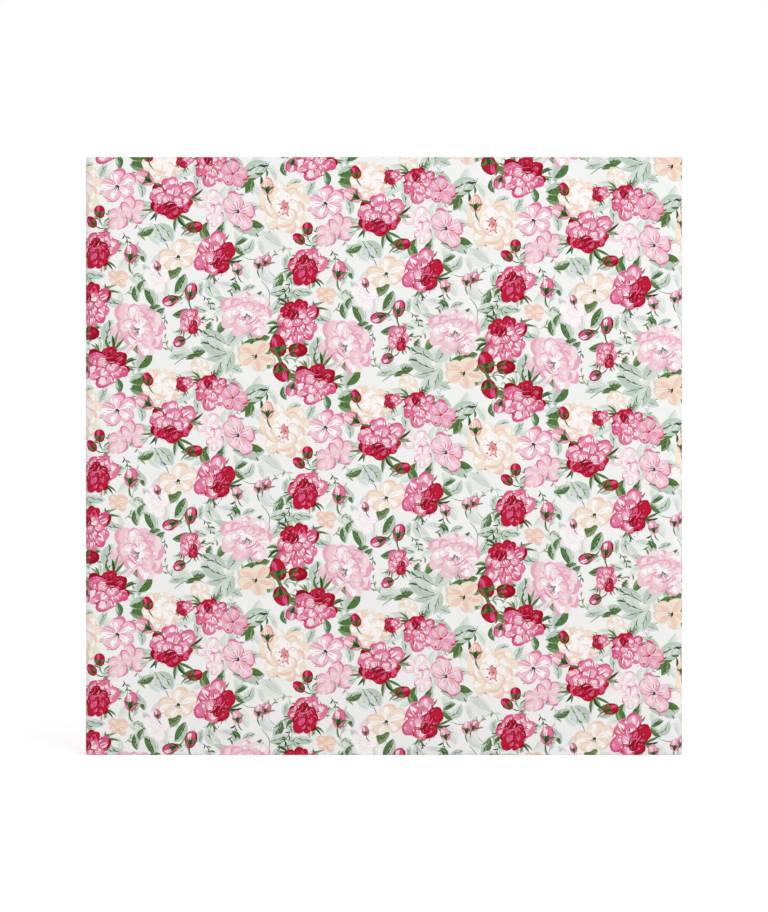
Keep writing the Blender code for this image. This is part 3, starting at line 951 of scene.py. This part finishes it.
def edge_stops():
    """Inks met along a fold, in uneven lengths."""
    colours = dict(zip(INK_NAMES, ink_colours()))
    order = ((0.0, "ground"), (0.34, "blush"), (0.38, "white"), (0.46, "hot"), (0.475, "ground"),
             (0.56, "sage"), (0.58, "leaf"), (0.59, "white"), (0.66, "crimson"), (0.68, "ground"))
    return [(place, colours[name][:3]) for place, name in order]


def kraft(name, along):
    """Brown kraft liner: pressed fibres, a few dark flecks, faint lines over the flutes."""
    nodes = Nodes(name, {"Roughness": 0.78, "Specular IOR Level": 0.25})
    scale = [240.0, 240.0, 240.0]
    scale[along] = 40.0
    fibres = nodes.cloud(1.0, 4.0, 0.65, nodes.place(scale))
    colour = nodes.ramp(fibres, ((0.25, (0.36, 0.215, 0.115)), (0.55, (0.47, 0.30, 0.17)),
                                 (0.8, (0.56, 0.38, 0.23))))
    colour = nodes.tint(colour, nodes.cloud(14.0, 2.0), 0.93, 1.06)
    flecks = nodes.ramp(nodes.cloud(700.0, 1.0), ((0.26, (0.5, 0.5, 0.5)), (0.34, (1.0, 1.0, 1.0))))
    flecked = nodes.add("ShaderNodeVectorMath", operation="MULTIPLY")
    nodes.link(colour, flecked.inputs[0])
    nodes.link(flecks, flecked.inputs[1])
    return nodes.finish(flecked.outputs[0], nodes.bump(fibres, 0.00008, 0.5))


def paper(name, colour=(0.80, 0.78, 0.72), inked=False):
    """Uncoated paper, a little uneven in tone."""
    nodes = Nodes(name, {"Roughness": 0.7, "Specular IOR Level": 0.3, "Base Color": (*colour, 1.0)})
    if inked:
        base = nodes.add("ShaderNodeAttribute", attribute_name="ink").outputs["Color"]
    else:
        base = nodes.ramp(nodes.cloud(60.0, 3.0), ((0.3, colour), (0.7, tuple(1.04 * c for c in colour))))
    base = nodes.tint(base, nodes.cloud(420.0, 3.0, 0.6), 0.95, 1.03)
    return nodes.finish(base, nodes.bump(nodes.cloud(900.0, 2.0), 0.00003, 0.5))


def nickel(name):
    """Nickel plated steel wire with fine drawing marks."""
    nodes = Nodes(name, {"Roughness": 0.24, "Metallic": 1.0})
    marks = nodes.cloud(1.0, 2.0, 0.6, nodes.place((60.0, 5000.0, 5000.0)))
    colour = nodes.ramp(marks, ((0.3, (0.60, 0.59, 0.57)), (0.7, (0.76, 0.75, 0.73))))
    return nodes.finish(colour, nodes.bump(marks, 0.00001, 0.4))


def pearl(name):
    """Pearly plastic: pale, with a slow drift of pink and a clear coat."""
    nodes = Nodes(name, {"Roughness": 0.28, "Coat Weight": 0.8, "Coat Roughness": 0.08})
    colour = nodes.ramp(nodes.cloud(700.0, 2.0), ((0.3, (0.86, 0.80, 0.80)), (0.5, (0.90, 0.87, 0.84)),
                                                 (0.7, (0.84, 0.70, 0.74))))
    return nodes.finish(colour)


# ---- Putting pieces in the scene ---------------------------------------------------------
def put(name, data):
    """A new object in the scene."""
    thing = bpy.data.objects.new(name, data)
    bpy.context.scene.collection.objects.link(thing)
    return thing


def show(shape, name, body, material, inks=False):
    """Turns a bmesh into a shown piece; with inks, its faces carry their ink as an attribute."""
    mesh = bpy.data.meshes.new(name)
    index = np.array([face.material_index for face in shape.faces])
    for face in shape.faces:
        face.material_index = 0
    shape.to_mesh(mesh)
    shape.free()
    if inks:
        palette = np.array(ink_colours(), dtype=np.float32)
        layer = mesh.attributes.new("ink", "FLOAT_COLOR", "FACE")
        layer.data.foreach_set("color", palette[index].ravel())
    piece = put(name, mesh)
    mesh.materials.append(material)
    if body:
        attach(piece, body)
    return piece


def smooth(shape):
    """Rounds a shape's shading, with every face turned the same way as its neighbours."""
    for face in shape.faces:
        face.smooth = True
    bmesh.ops.recalc_face_normals(shape, faces=shape.faces)


# ---- Cloth pieces --------------------------------------------------------------------
def waver(s, z):
    """Small unevenness of the wound cloth, in metres towards the board."""
    return UNEVEN * (1 + noise.noise(Vector((s * 9.0, z * 7.0, 3.1))))


def wrap(sheet, lift=None):
    """Bends a flat sheet round the winding: x is distance along the cloth, y its way up and over
    the fold, and z how far the point lies under the outer face."""
    for vertex in sheet.verts:
        s, up, under = vertex.co
        x, y, nx, ny = winding(s)
        z, depth = over_fold(up)
        depth += under if depth < FOLD_ROUND else -under
        depth += waver(s, z)
        if lift:
            depth -= lift(x, z)
        vertex.co = (x - nx * depth, y - ny * depth, z)


def thicken_edges(sheet, edges):
    """The raw edge of one layer of cloth, turned down by its thickness."""
    made = bmesh.ops.extrude_edge_only(sheet, edges=edges)["geom"]
    for vertex in (item for item in made if isinstance(item, bmesh.types.BMVert)):
        vertex.co.z += LAYER
    for face in (item for item in made if isinstance(item, bmesh.types.BMFace)):
        face.material_index = INK_NAMES.index("white")


def boundary(sheet, axis, place):
    """The sheet's outer edges that lie along a line."""
    return [edge for edge in sheet.edges
            if edge.is_boundary and all(abs(vertex.co[axis] - place) < SEAM for vertex in edge.verts)]


def face_outward(shape, outward):
    """Turns every face so that the whole looks along outward."""
    total = Vector((0.0, 0.0, 0.0))
    for face in shape.faces:
        total += face.normal * face.calc_area()
    if total.dot(Vector(outward)) < 0:
        bmesh.ops.reverse_faces(shape, faces=shape.faces)


def make_panel(repeat, name, start, stop, lines, across):
    """A printed stretch of the outermost turn, with its fold at the top and its raw lower edge."""
    sheet = lay_print(repeat, start, stop, high=FOLD_TOP)
    cut_lines(sheet, lines)
    cut_lines(sheet, FOLD_LINES, axis=1)
    thicken_edges(sheet, boundary(sheet, 1, 0.0))
    wrap(sheet)
    smooth(sheet)
    _, _, nx, ny = winding((start + stop) / 2)
    face_outward(sheet, (nx, ny, 0.0))
    return show(sheet, name, "bolt", cotton(name + "_cotton", across=across), inks=True)


def bend_lines(start):
    """Cloth distances where a wound edge that begins at start needs an edge."""
    lines = [start + ARC * k / BEND_STEPS for k in range(1, BEND_STEPS + 1)]
    return lines + [start + ARC + SIDE + ARC * k / BEND_STEPS for k in range(BEND_STEPS)]


def pucker(x, z):
    """The loose end rises in a small bite over each pin."""
    along = math.exp(-((x - PIN_BITE) / BITE_LONG) ** 4)
    return sum(BITE_RISE * math.exp(-((z - height) / BITE_TALL) ** 2) * along for height in PIN_HEIGHTS)


def cut_bites(sheet):
    """Edges over the pins, so that each bite of cloth is round."""
    bite = TAIL_STOP + TAIL_END - PIN_BITE
    uprights = [bite + BITE_COLUMNS * k for k in range(-3, 4)]
    for height in PIN_HEIGHTS:
        levels = [height + BITE_ROWS * k for k in range(-4, 5)]
        cut_lines(sheet, uprights, near=(height - 5 * BITE_ROWS, height + 5 * BITE_ROWS))
        cut_lines(sheet, levels, axis=1, near=(bite - BITE_REACH, bite + BITE_REACH))


HINGE_LINES = [TAIL_START - HINGE_STEP * k for k in range(1, 7)]


def make_outer_turn(repeat):
    """The outermost turn in four stretches, from the loose end's root round to the back."""
    stretches = (("front_face", 0.0, FLAT, (), 0), ("back_face", BACK_START, BACK_END, (), 0),
                 ("left_wound_edge", -ROUND, 0.0, [-line for line in bend_lines(0.0)], 1),
                 ("right_wound_edge", FLAT, BACK_START, bend_lines(FLAT), 1))
    for name, start, stop, lines, across in stretches:
        piece = make_panel(repeat, name, start, stop, lines, across)
        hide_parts("wound_cloth")


def show_loose(sheet, name, outward, material):
    """Shows one layer of the loose end, which runs on flat from where it leaves the wound edge."""
    smooth(sheet)
    face_outward(sheet, outward)
    piece = show(sheet, name, None, cotton(material), inks=True)
    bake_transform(piece)
    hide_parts("loose_end")


def make_loose_end(repeat):
    """The last half turn's outer layer, with its fold and a bite over each pin."""
    sheet = lay_print(repeat, TAIL_STOP, TAIL_START, high=FOLD_TOP)
    cut_lines(sheet, HINGE_LINES)
    cut_bites(sheet)
    cut_lines(sheet, FOLD_LINES, axis=1)
    thicken_edges(sheet, boundary(sheet, 1, 0.0) + boundary(sheet, 0, TAIL_STOP))
    wrap(sheet, pucker)
    show_loose(sheet, "loose_end_face", (0.0, 1.0, 0.0), "loose_end_cotton")


def make_loose_inside(repeat):
    """The layer inside the loose end's lengthwise fold, printed on the side that faces the board."""
    sheet = lay_print(repeat, TAIL_STOP, TAIL_START, high=HEIGHT - HIDDEN)
    cut_lines(sheet, HINGE_LINES)
    level = 2 * FOLD_ROUND + LAYER / 2
    for vertex in sheet.verts:
        vertex.co.z = level
    thicken_edges(sheet, boundary(sheet, 0, TAIL_STOP))
    for vertex in sheet.verts:
        vertex.co.z = 2 * level - vertex.co.z
    wrap(sheet)
    show_loose(sheet, "loose_end_inside", (0.0, -1.0, 0.0), "loose_end_inside_cotton")


def turn_profile(top, bottom):
    """One turn's doubled cloth in section, as depth from its middle and height: up the outside,
    round the fold, down the inside, and back up between the two layers."""
    outer, inner = FOLD_ROUND, FOLD_ROUND - LAYER
    points = [(-outer, bottom)]
    points += [(-outer * math.cos(a), top - outer + outer * math.sin(a))
               for a in (math.pi * k / FOLD_STEPS for k in range(FOLD_STEPS + 1))]
    points += [(outer, bottom), (inner, bottom)]
    points += [(inner * math.cos(a), top - outer + inner * math.sin(a))
               for a in (math.pi * k / 2 for k in range(3))]
    return points + [(-inner, bottom)]


def spiral_stations():
    """Distances along the spiral where its section is drawn, closest together round the bends."""
    marks = [0.0]
    for length, steps in ((FLAT, 12), (ARC, 4), (SIDE, 2), (ARC, 4)):
        marks += [marks[-1] + length * (k + 1) / steps for k in range(steps)]
    half_loop = marks[:-1] + [mark + LOOP / 2 for mark in marks[:-1]]
    stations = [mark + LOOP * turn for turn in range(TURNS - 1) for mark in half_loop]
    return stations + [LOOP * (TURNS - 1)]


def make_inner_turns():
    """The eleven turns under the outermost one: one length of doubled cloth in a spiral."""
    stations = spiral_stations()
    shape = bmesh.new()
    rings, length = [], 0.0
    last = None
    for s in stations:
        x, y, nx, ny = loop(s)
        middle = TURN * (TURNS - 0.5 + (2.0 - TURNS) * s / stations[-1])
        top = HEIGHT - HIDDEN - FOLD_RAGGED * (1 + noise.noise(Vector((s * 6.0, 4.3, 0.0))))
        bottom = FOOT_RISE + FOOT_RAGGED * (1 + noise.noise(Vector((s * 5.0, 0.0, 7.7))))
        rings.append([shape.verts.new((x - nx * (middle + off), y - ny * (middle + off), z))
                      for off, z in turn_profile(top, bottom)])
        place = Vector((x - nx * middle, y - ny * middle))
        length += (place - last).length if last else 0.0
        last = place
    for near, far in zip(rings, rings[1:]):
        for k in range(len(near)):
            after = (k + 1) % len(near)
            shape.faces.new((near[k], near[after], far[after], far[k]))
    shape.faces.new(rings[0])
    shape.faces.new(rings[-1])
    smooth(shape)
    material = cotton("inner_turns_cotton", printed=False)
    piece = show(shape, "inner_turns", "bolt", material)
    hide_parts("wound_cloth")


# ---- The board ---------------------------------------------------------------------------
LINER = 0.0003          # one paper of the corrugated sheet
SLEEVE_THICK = 0.0025
SLEEVE_BEND = 0.0012    # outer radius of the sleeve's folds
FLUTE_PITCH = 0.0078
FLUTE_STEPS = 6         # stations along one flute


def ribbon(shape, near, far, place, low, high, closed):
    """A standing strip between two lines of the same plan, from low to high."""
    count = len(near)
    corners_of = [[shape.verts.new(place(*point, height)) for point, height in
                   ((near[k], low), (near[k], high), (far[k], high), (far[k], low))] for k in range(count)]
    for k in range(count if closed else count - 1):
        here, there = corners_of[k], corners_of[(k + 1) % count]
        for side in range(4):
            other = (side + 1) % 4
            shape.faces.new((here[side], here[other], there[other], there[side]))
    if not closed:
        shape.faces.new(corners_of[0])
        shape.faces.new(corners_of[-1])


def corrugated(name, node, body, path, thick, low, high, place, closed=False, along=2):
    """Corrugated sheet: two liners and the waved paper between them. path holds plan points and the
    direction through the sheet; place turns plan and height into a point of the scene."""
    shape = bmesh.new()

    def line(offset):
        return [(x + nx * offset, y + ny * offset) for x, y, nx, ny in path]

    def wave(shift):
        middle = thick / 2 + shift
        swing = thick / 2 - 1.4 * LINER
        return [(x + nx * (middle + swing * math.sin(math.tau * k / FLUTE_STEPS)),
                 y + ny * (middle + swing * math.sin(math.tau * k / FLUTE_STEPS)))
                for k, (x, y, nx, ny) in enumerate(path)]

    ribbon(shape, line(0.0), line(LINER), place, low, high, closed)
    ribbon(shape, line(thick - LINER), line(thick), place, low, high, closed)
    ribbon(shape, wave(-LINER / 3), wave(LINER / 3), place, low, high, closed)
    bmesh.ops.recalc_face_normals(shape, faces=shape.faces)
    piece = show(shape, name, body, kraft(name + "_kraft", along))
    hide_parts(node)


def flute_steps(length):
    """How many stations a run of corrugated sheet has: a whole number of flutes."""
    return max(1, round(length / FLUTE_PITCH)) * FLUTE_STEPS


def straight_path(start, end, level, through):
    steps = flute_steps(end - start)
    return [(start + (end - start) * k / steps, level, 0.0, through) for k in range(steps + 1)]


def outline_at(s, wide, deep, radius):
    """Point and inward direction at distance s round a rounded rectangle about the origin. wide and
    deep are its straight sides."""
    bend = math.pi / 2 * radius
    heading, corner = 0.0, Vector((-wide / 2, -deep / 2 - radius))
    for length, turning in 2 * ((wide, 0), (bend, 1), (deep, 0), (bend, 1)):
        ahead = Vector((math.cos(heading), math.sin(heading)))
        inward = Vector((-ahead.y, ahead.x))
        if s < length:
            break
        s -= length
        corner = corner + (ahead + inward) * radius if turning else corner + ahead * length
        heading += math.pi / 2 * turning
    if not turning:
        return corner + ahead * s, inward
    a = s / radius
    point = corner + ahead * radius * math.sin(a) + inward * radius * (1 - math.cos(a))
    return point, -ahead * math.sin(a) + inward * math.cos(a)


def sleeve_path(low, high, radius):
    """Round the board's outline, evenly spaced, with the direction to its inside."""
    wide, deep = high.x - low.x - 2 * radius, high.y - low.y - 2 * radius
    total = 2 * (wide + deep) + 2 * math.pi * radius
    steps = flute_steps(total)
    middle = (low + high) / 2
    path = []
    for k in range(steps):
        point, inward = outline_at(total * k / steps, wide, deep, radius)
        path.append((middle.x + point.x, middle.y + point.y, inward.x, inward.y))
    return path


def upright(x, y, height):
    return x, y, height


def lying(x, y, height):
    """For a sheet that lies flat: its plan's second axis is up, and its flutes run front to back."""
    return x, height, y


def make_board():
    """The board's corrugated sleeve, its pads, and the flap and tongue that close its upper end."""
    path = sleeve_path(SLEEVE_LOW, SLEEVE_HIGH, SLEEVE_BEND)
    corrugated("sleeve", "board_sleeve", "bolt", path, SLEEVE_THICK, SLEEVE_LOW.z, SLEEVE_HIGH.z, upright,
               closed=True)
    for number in (1, 2, 3):
        low, high = corners(f"stiffening_pad_{number}")
        path = straight_path(low.x, high.x, low.y, 1.0)
        corrugated(f"pad_{number}", f"stiffening_pad_{number}", "bolt", path, high.y - low.y, low.z, high.z,
                   upright)
    low, high = corners("top_tuck_flap")
    corrugated("tuck_flap", "top_tuck_flap", "top_flap", straight_path(low.x, high.x, low.z, 1.0),
               high.z - low.z, low.y, high.y, lying, along=1)
    low, high = corners("top_tuck_tongue")
    corrugated("tuck_tongue", "top_tuck_tongue", "tuck_tongue", straight_path(low.x, high.x, low.y, 1.0),
               high.y - low.y, low.z, high.z, upright)


LABEL_BORDER = 0.0012   # blank paper outside the label's printed line
LABEL_LINE = 0.0005     # width of that line
LABEL_LIFT = 0.0003     # how far the label's ends lift, over the last share of its half length
LIFTED_SHARE = 0.14


def label_cuts(start, end, parts):
    """Both sides of the printed line at each end, and even steps between."""
    insets = (0.0, LABEL_BORDER, LABEL_BORDER + LABEL_LINE)
    edges = {start + inset for inset in insets} | {end - inset for inset in insets}
    return sorted(edges | {start + (end - start) * k / parts for k in range(1, parts)})


def label_side(shape, low, high, level):
    """A grid of corners over the label's plan, lifting a little at both ends."""
    rows = []
    for y in label_cuts(low.y, high.y, 2):
        row = []
        for x in label_cuts(low.x, high.x, 20):
            out = abs(x - (low.x + high.x) / 2) / (high.x - low.x) * 2
            curl = max(0.0, out - 1 + LIFTED_SHARE) / LIFTED_SHARE
            row.append(shape.verts.new((x, y, level + LABEL_LIFT * curl ** 2)))
        rows.append(row)
    return rows


def make_label():
    """A blank paper label with a plain printed border."""
    low, high = corners("end_label")
    line, plain = INK_NAMES.index("deep"), INK_NAMES.index("cream")
    shape = bmesh.new()
    upper = label_side(shape, low, high, low.z + (high.z - low.z) / 2)
    lower = label_side(shape, low, high, low.z)
    for j in range(len(upper) - 1):
        for i in range(len(upper[0]) - 1):
            face = shape.faces.new((upper[j][i], upper[j][i + 1], upper[j + 1][i + 1], upper[j + 1][i]))
            x, y = face.calc_center_median()[:2]
            inset = min(x - low.x, high.x - x, y - low.y, high.y - y)
            face.material_index = line if 0 < inset - LABEL_BORDER < LABEL_LINE else plain
            under = shape.faces.new((lower[j][i], lower[j + 1][i], lower[j + 1][i + 1], lower[j][i + 1]))
            under.material_index = plain
    rims = ([(lower[0], upper[0]), (lower[-1], upper[-1])]
            + [([row[k] for row in lower], [row[k] for row in upper]) for k in (0, -1)])
    for below, above in rims:
        for k in range(len(below) - 1):
            face = shape.faces.new((below[k], below[k + 1], above[k + 1], above[k]))
            face.material_index = plain
    bmesh.ops.recalc_face_normals(shape, faces=shape.faces)
    material = paper("label_paper", inked=True)
    piece = show(shape, "blank_label", "top_flap", material, inks=True)
    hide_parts("end_label")


# ---- Pins ---------------------------------------------------------------------------------
def lathe(profile, centre, steps):
    """A solid turned about the X axis through centre. profile holds x and radius, ends on the axis."""
    shape = bmesh.new()
    rings = []
    for x, radius in profile:
        if radius == 0.0:
            rings.append([shape.verts.new((x, centre.y, centre.z))])
            continue
        rings.append([shape.verts.new((x, centre.y + radius * math.cos(a), centre.z + radius * math.sin(a)))
                      for a in (math.tau * k / steps for k in range(steps))])
    for near, far in zip(rings, rings[1:]):
        for k in range(steps):
            after = k + 1
            ring = [near[k % len(near)], near[after % len(near)], far[after % len(far)], far[k % len(far)]]
            shape.faces.new(sorted(set(ring), key=ring.index))
    smooth(shape)
    return shape


PIN_GRIND = 0.0045      # length that the pin's wire is ground to a point over
PIN_TIP = 0.0001        # how far the rounding of a tip or a collar's rim reaches


def make_pins():
    """Pearl-headed pins: a ground wire, and a head moulded round its end with a small collar."""
    wire, pearly = nickel("pin_nickel"), pearl("pin_pearl")
    for number in PIN_NUMBERS:
        low, high = corners(f"pin_{number}_shaft")
        centre = (low + high) / 2
        radius = (high.z - low.z) / 2
        taper = [(low.x + PIN_GRIND * t, radius * (0.10 + 0.90 * t ** 0.7))
                 for t in (0.0, 0.15, 0.35, 0.6, 0.8, 1.0)]
        profile = [(low.x - PIN_TIP, 0.0)] + taper + [(high.x, radius), (high.x, 0.0)]
        shaft = show(lathe(profile, centre, 12), f"pin_{number}_wire", f"pin_{number}", wire)
        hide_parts(f"pin_{number}_shaft")
        low, high = corners(f"pin_{number}_head")
        centre = (low + high) / 2
        size = (high.x - low.x) / 2
        collar_end = low.x - 5 * PIN_TIP
        collar = [(collar_end, 0.0), (collar_end, 1.5 * radius), (low.x - PIN_TIP, 1.9 * radius)]
        ball = [(centre.x - size * math.cos(a), size * math.sin(a)) for a in
                (math.pi * k / 14 for k in range(2, 14))]
        head = show(lathe(collar + ball + [(high.x, 0.0)], centre, 20), f"pin_{number}_pearl",
                    f"pin_{number}", pearly)
        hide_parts(f"pin_{number}_head")


def dress_cad_nodes():
    """Procedural materials for the CAD nodes that stay as they are."""
    board = kraft("flap_kraft", along=0)
    tape = paper("tape_paper", (0.62, 0.47, 0.29))
    looks = {"sleeve_glue_flap": board, "bottom_outer_flap": board, "bottom_inner_flap": board,
             "starter_tape": tape}
    for name, material in looks.items():
        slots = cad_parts[name].material_slots
        for slot in slots:
            slot.material = material


# ---- Stage -----------------------------------------------------------------------------
def light_world(scene):
    """An even white studio all round."""
    scene.view_settings.view_transform = "Standard"
    world = bpy.data.worlds.new("studio")
    world.use_nodes = True
    set_inputs(world.node_tree.nodes["Background"], {"Color": WHITE, "Strength": WORLD_LIGHT})
    scene.world = world


def lay_floor():
    """A white floor that reaches past every picture's edge."""
    mesh = bpy.data.meshes.new("floor")
    plan = bmesh.new()
    bmesh.ops.create_grid(plan, x_segments=1, y_segments=1, size=FLOOR_REACH)
    plan.to_mesh(mesh)
    plan.free()
    floor = put("floor", mesh)
    nodes = Nodes("floor_paint", {"Roughness": 0.9, "Base Color": (0.94, 0.94, 0.94, 1.0),
                                  "Specular IOR Level": 0.0, "Emission Color": WHITE,
                                  "Emission Strength": FLOOR_GLOW})
    mesh.materials.append(nodes.material)


def hang_softbox():
    """A large soft light above and to the right of the camera, aimed at the bolt."""
    key = bpy.data.lights.new("key_softbox", "AREA")
    key.shape = "RECTANGLE"
    key.size, key.size_y = LAMP_SIZE
    key.energy = KEY_POWER
    lamp = put("key_softbox", key)
    lamp.location = LAMP_PLACE
    aim = Vector((0.0, 0.0, HEIGHT / 2)) - lamp.location
    lamp.rotation_euler = aim.to_track_quat("-Z", "Y").to_euler()


def set_camera(scene):
    """Straight in front of the bolt, so far off that its face fills the photo's share."""
    camera = bpy.data.cameras.new("camera")
    camera.lens = FOCAL_MM
    camera.sensor_width = SENSOR_MM
    eye = put("camera", camera)
    view_height = 2 * HALF / FACE_SHARE
    eye.location = (0.0, FRONT_Y - view_height * FOCAL_MM / SENSOR_MM, HEIGHT / 2)
    eye.rotation_euler = (math.pi / 2, 0.0, 0.0)
    scene.camera = eye


def make_stage():
    scene = bpy.context.scene
    light_world(scene)
    lay_floor()
    hang_softbox()
    set_camera(scene)


cloth_repeat = print_repeat()
make_outer_turn(cloth_repeat)
make_loose_end(cloth_repeat)
make_loose_inside(cloth_repeat)
make_inner_turns()
make_board()
make_label()
make_pins()
dress_cad_nodes()
make_stage()
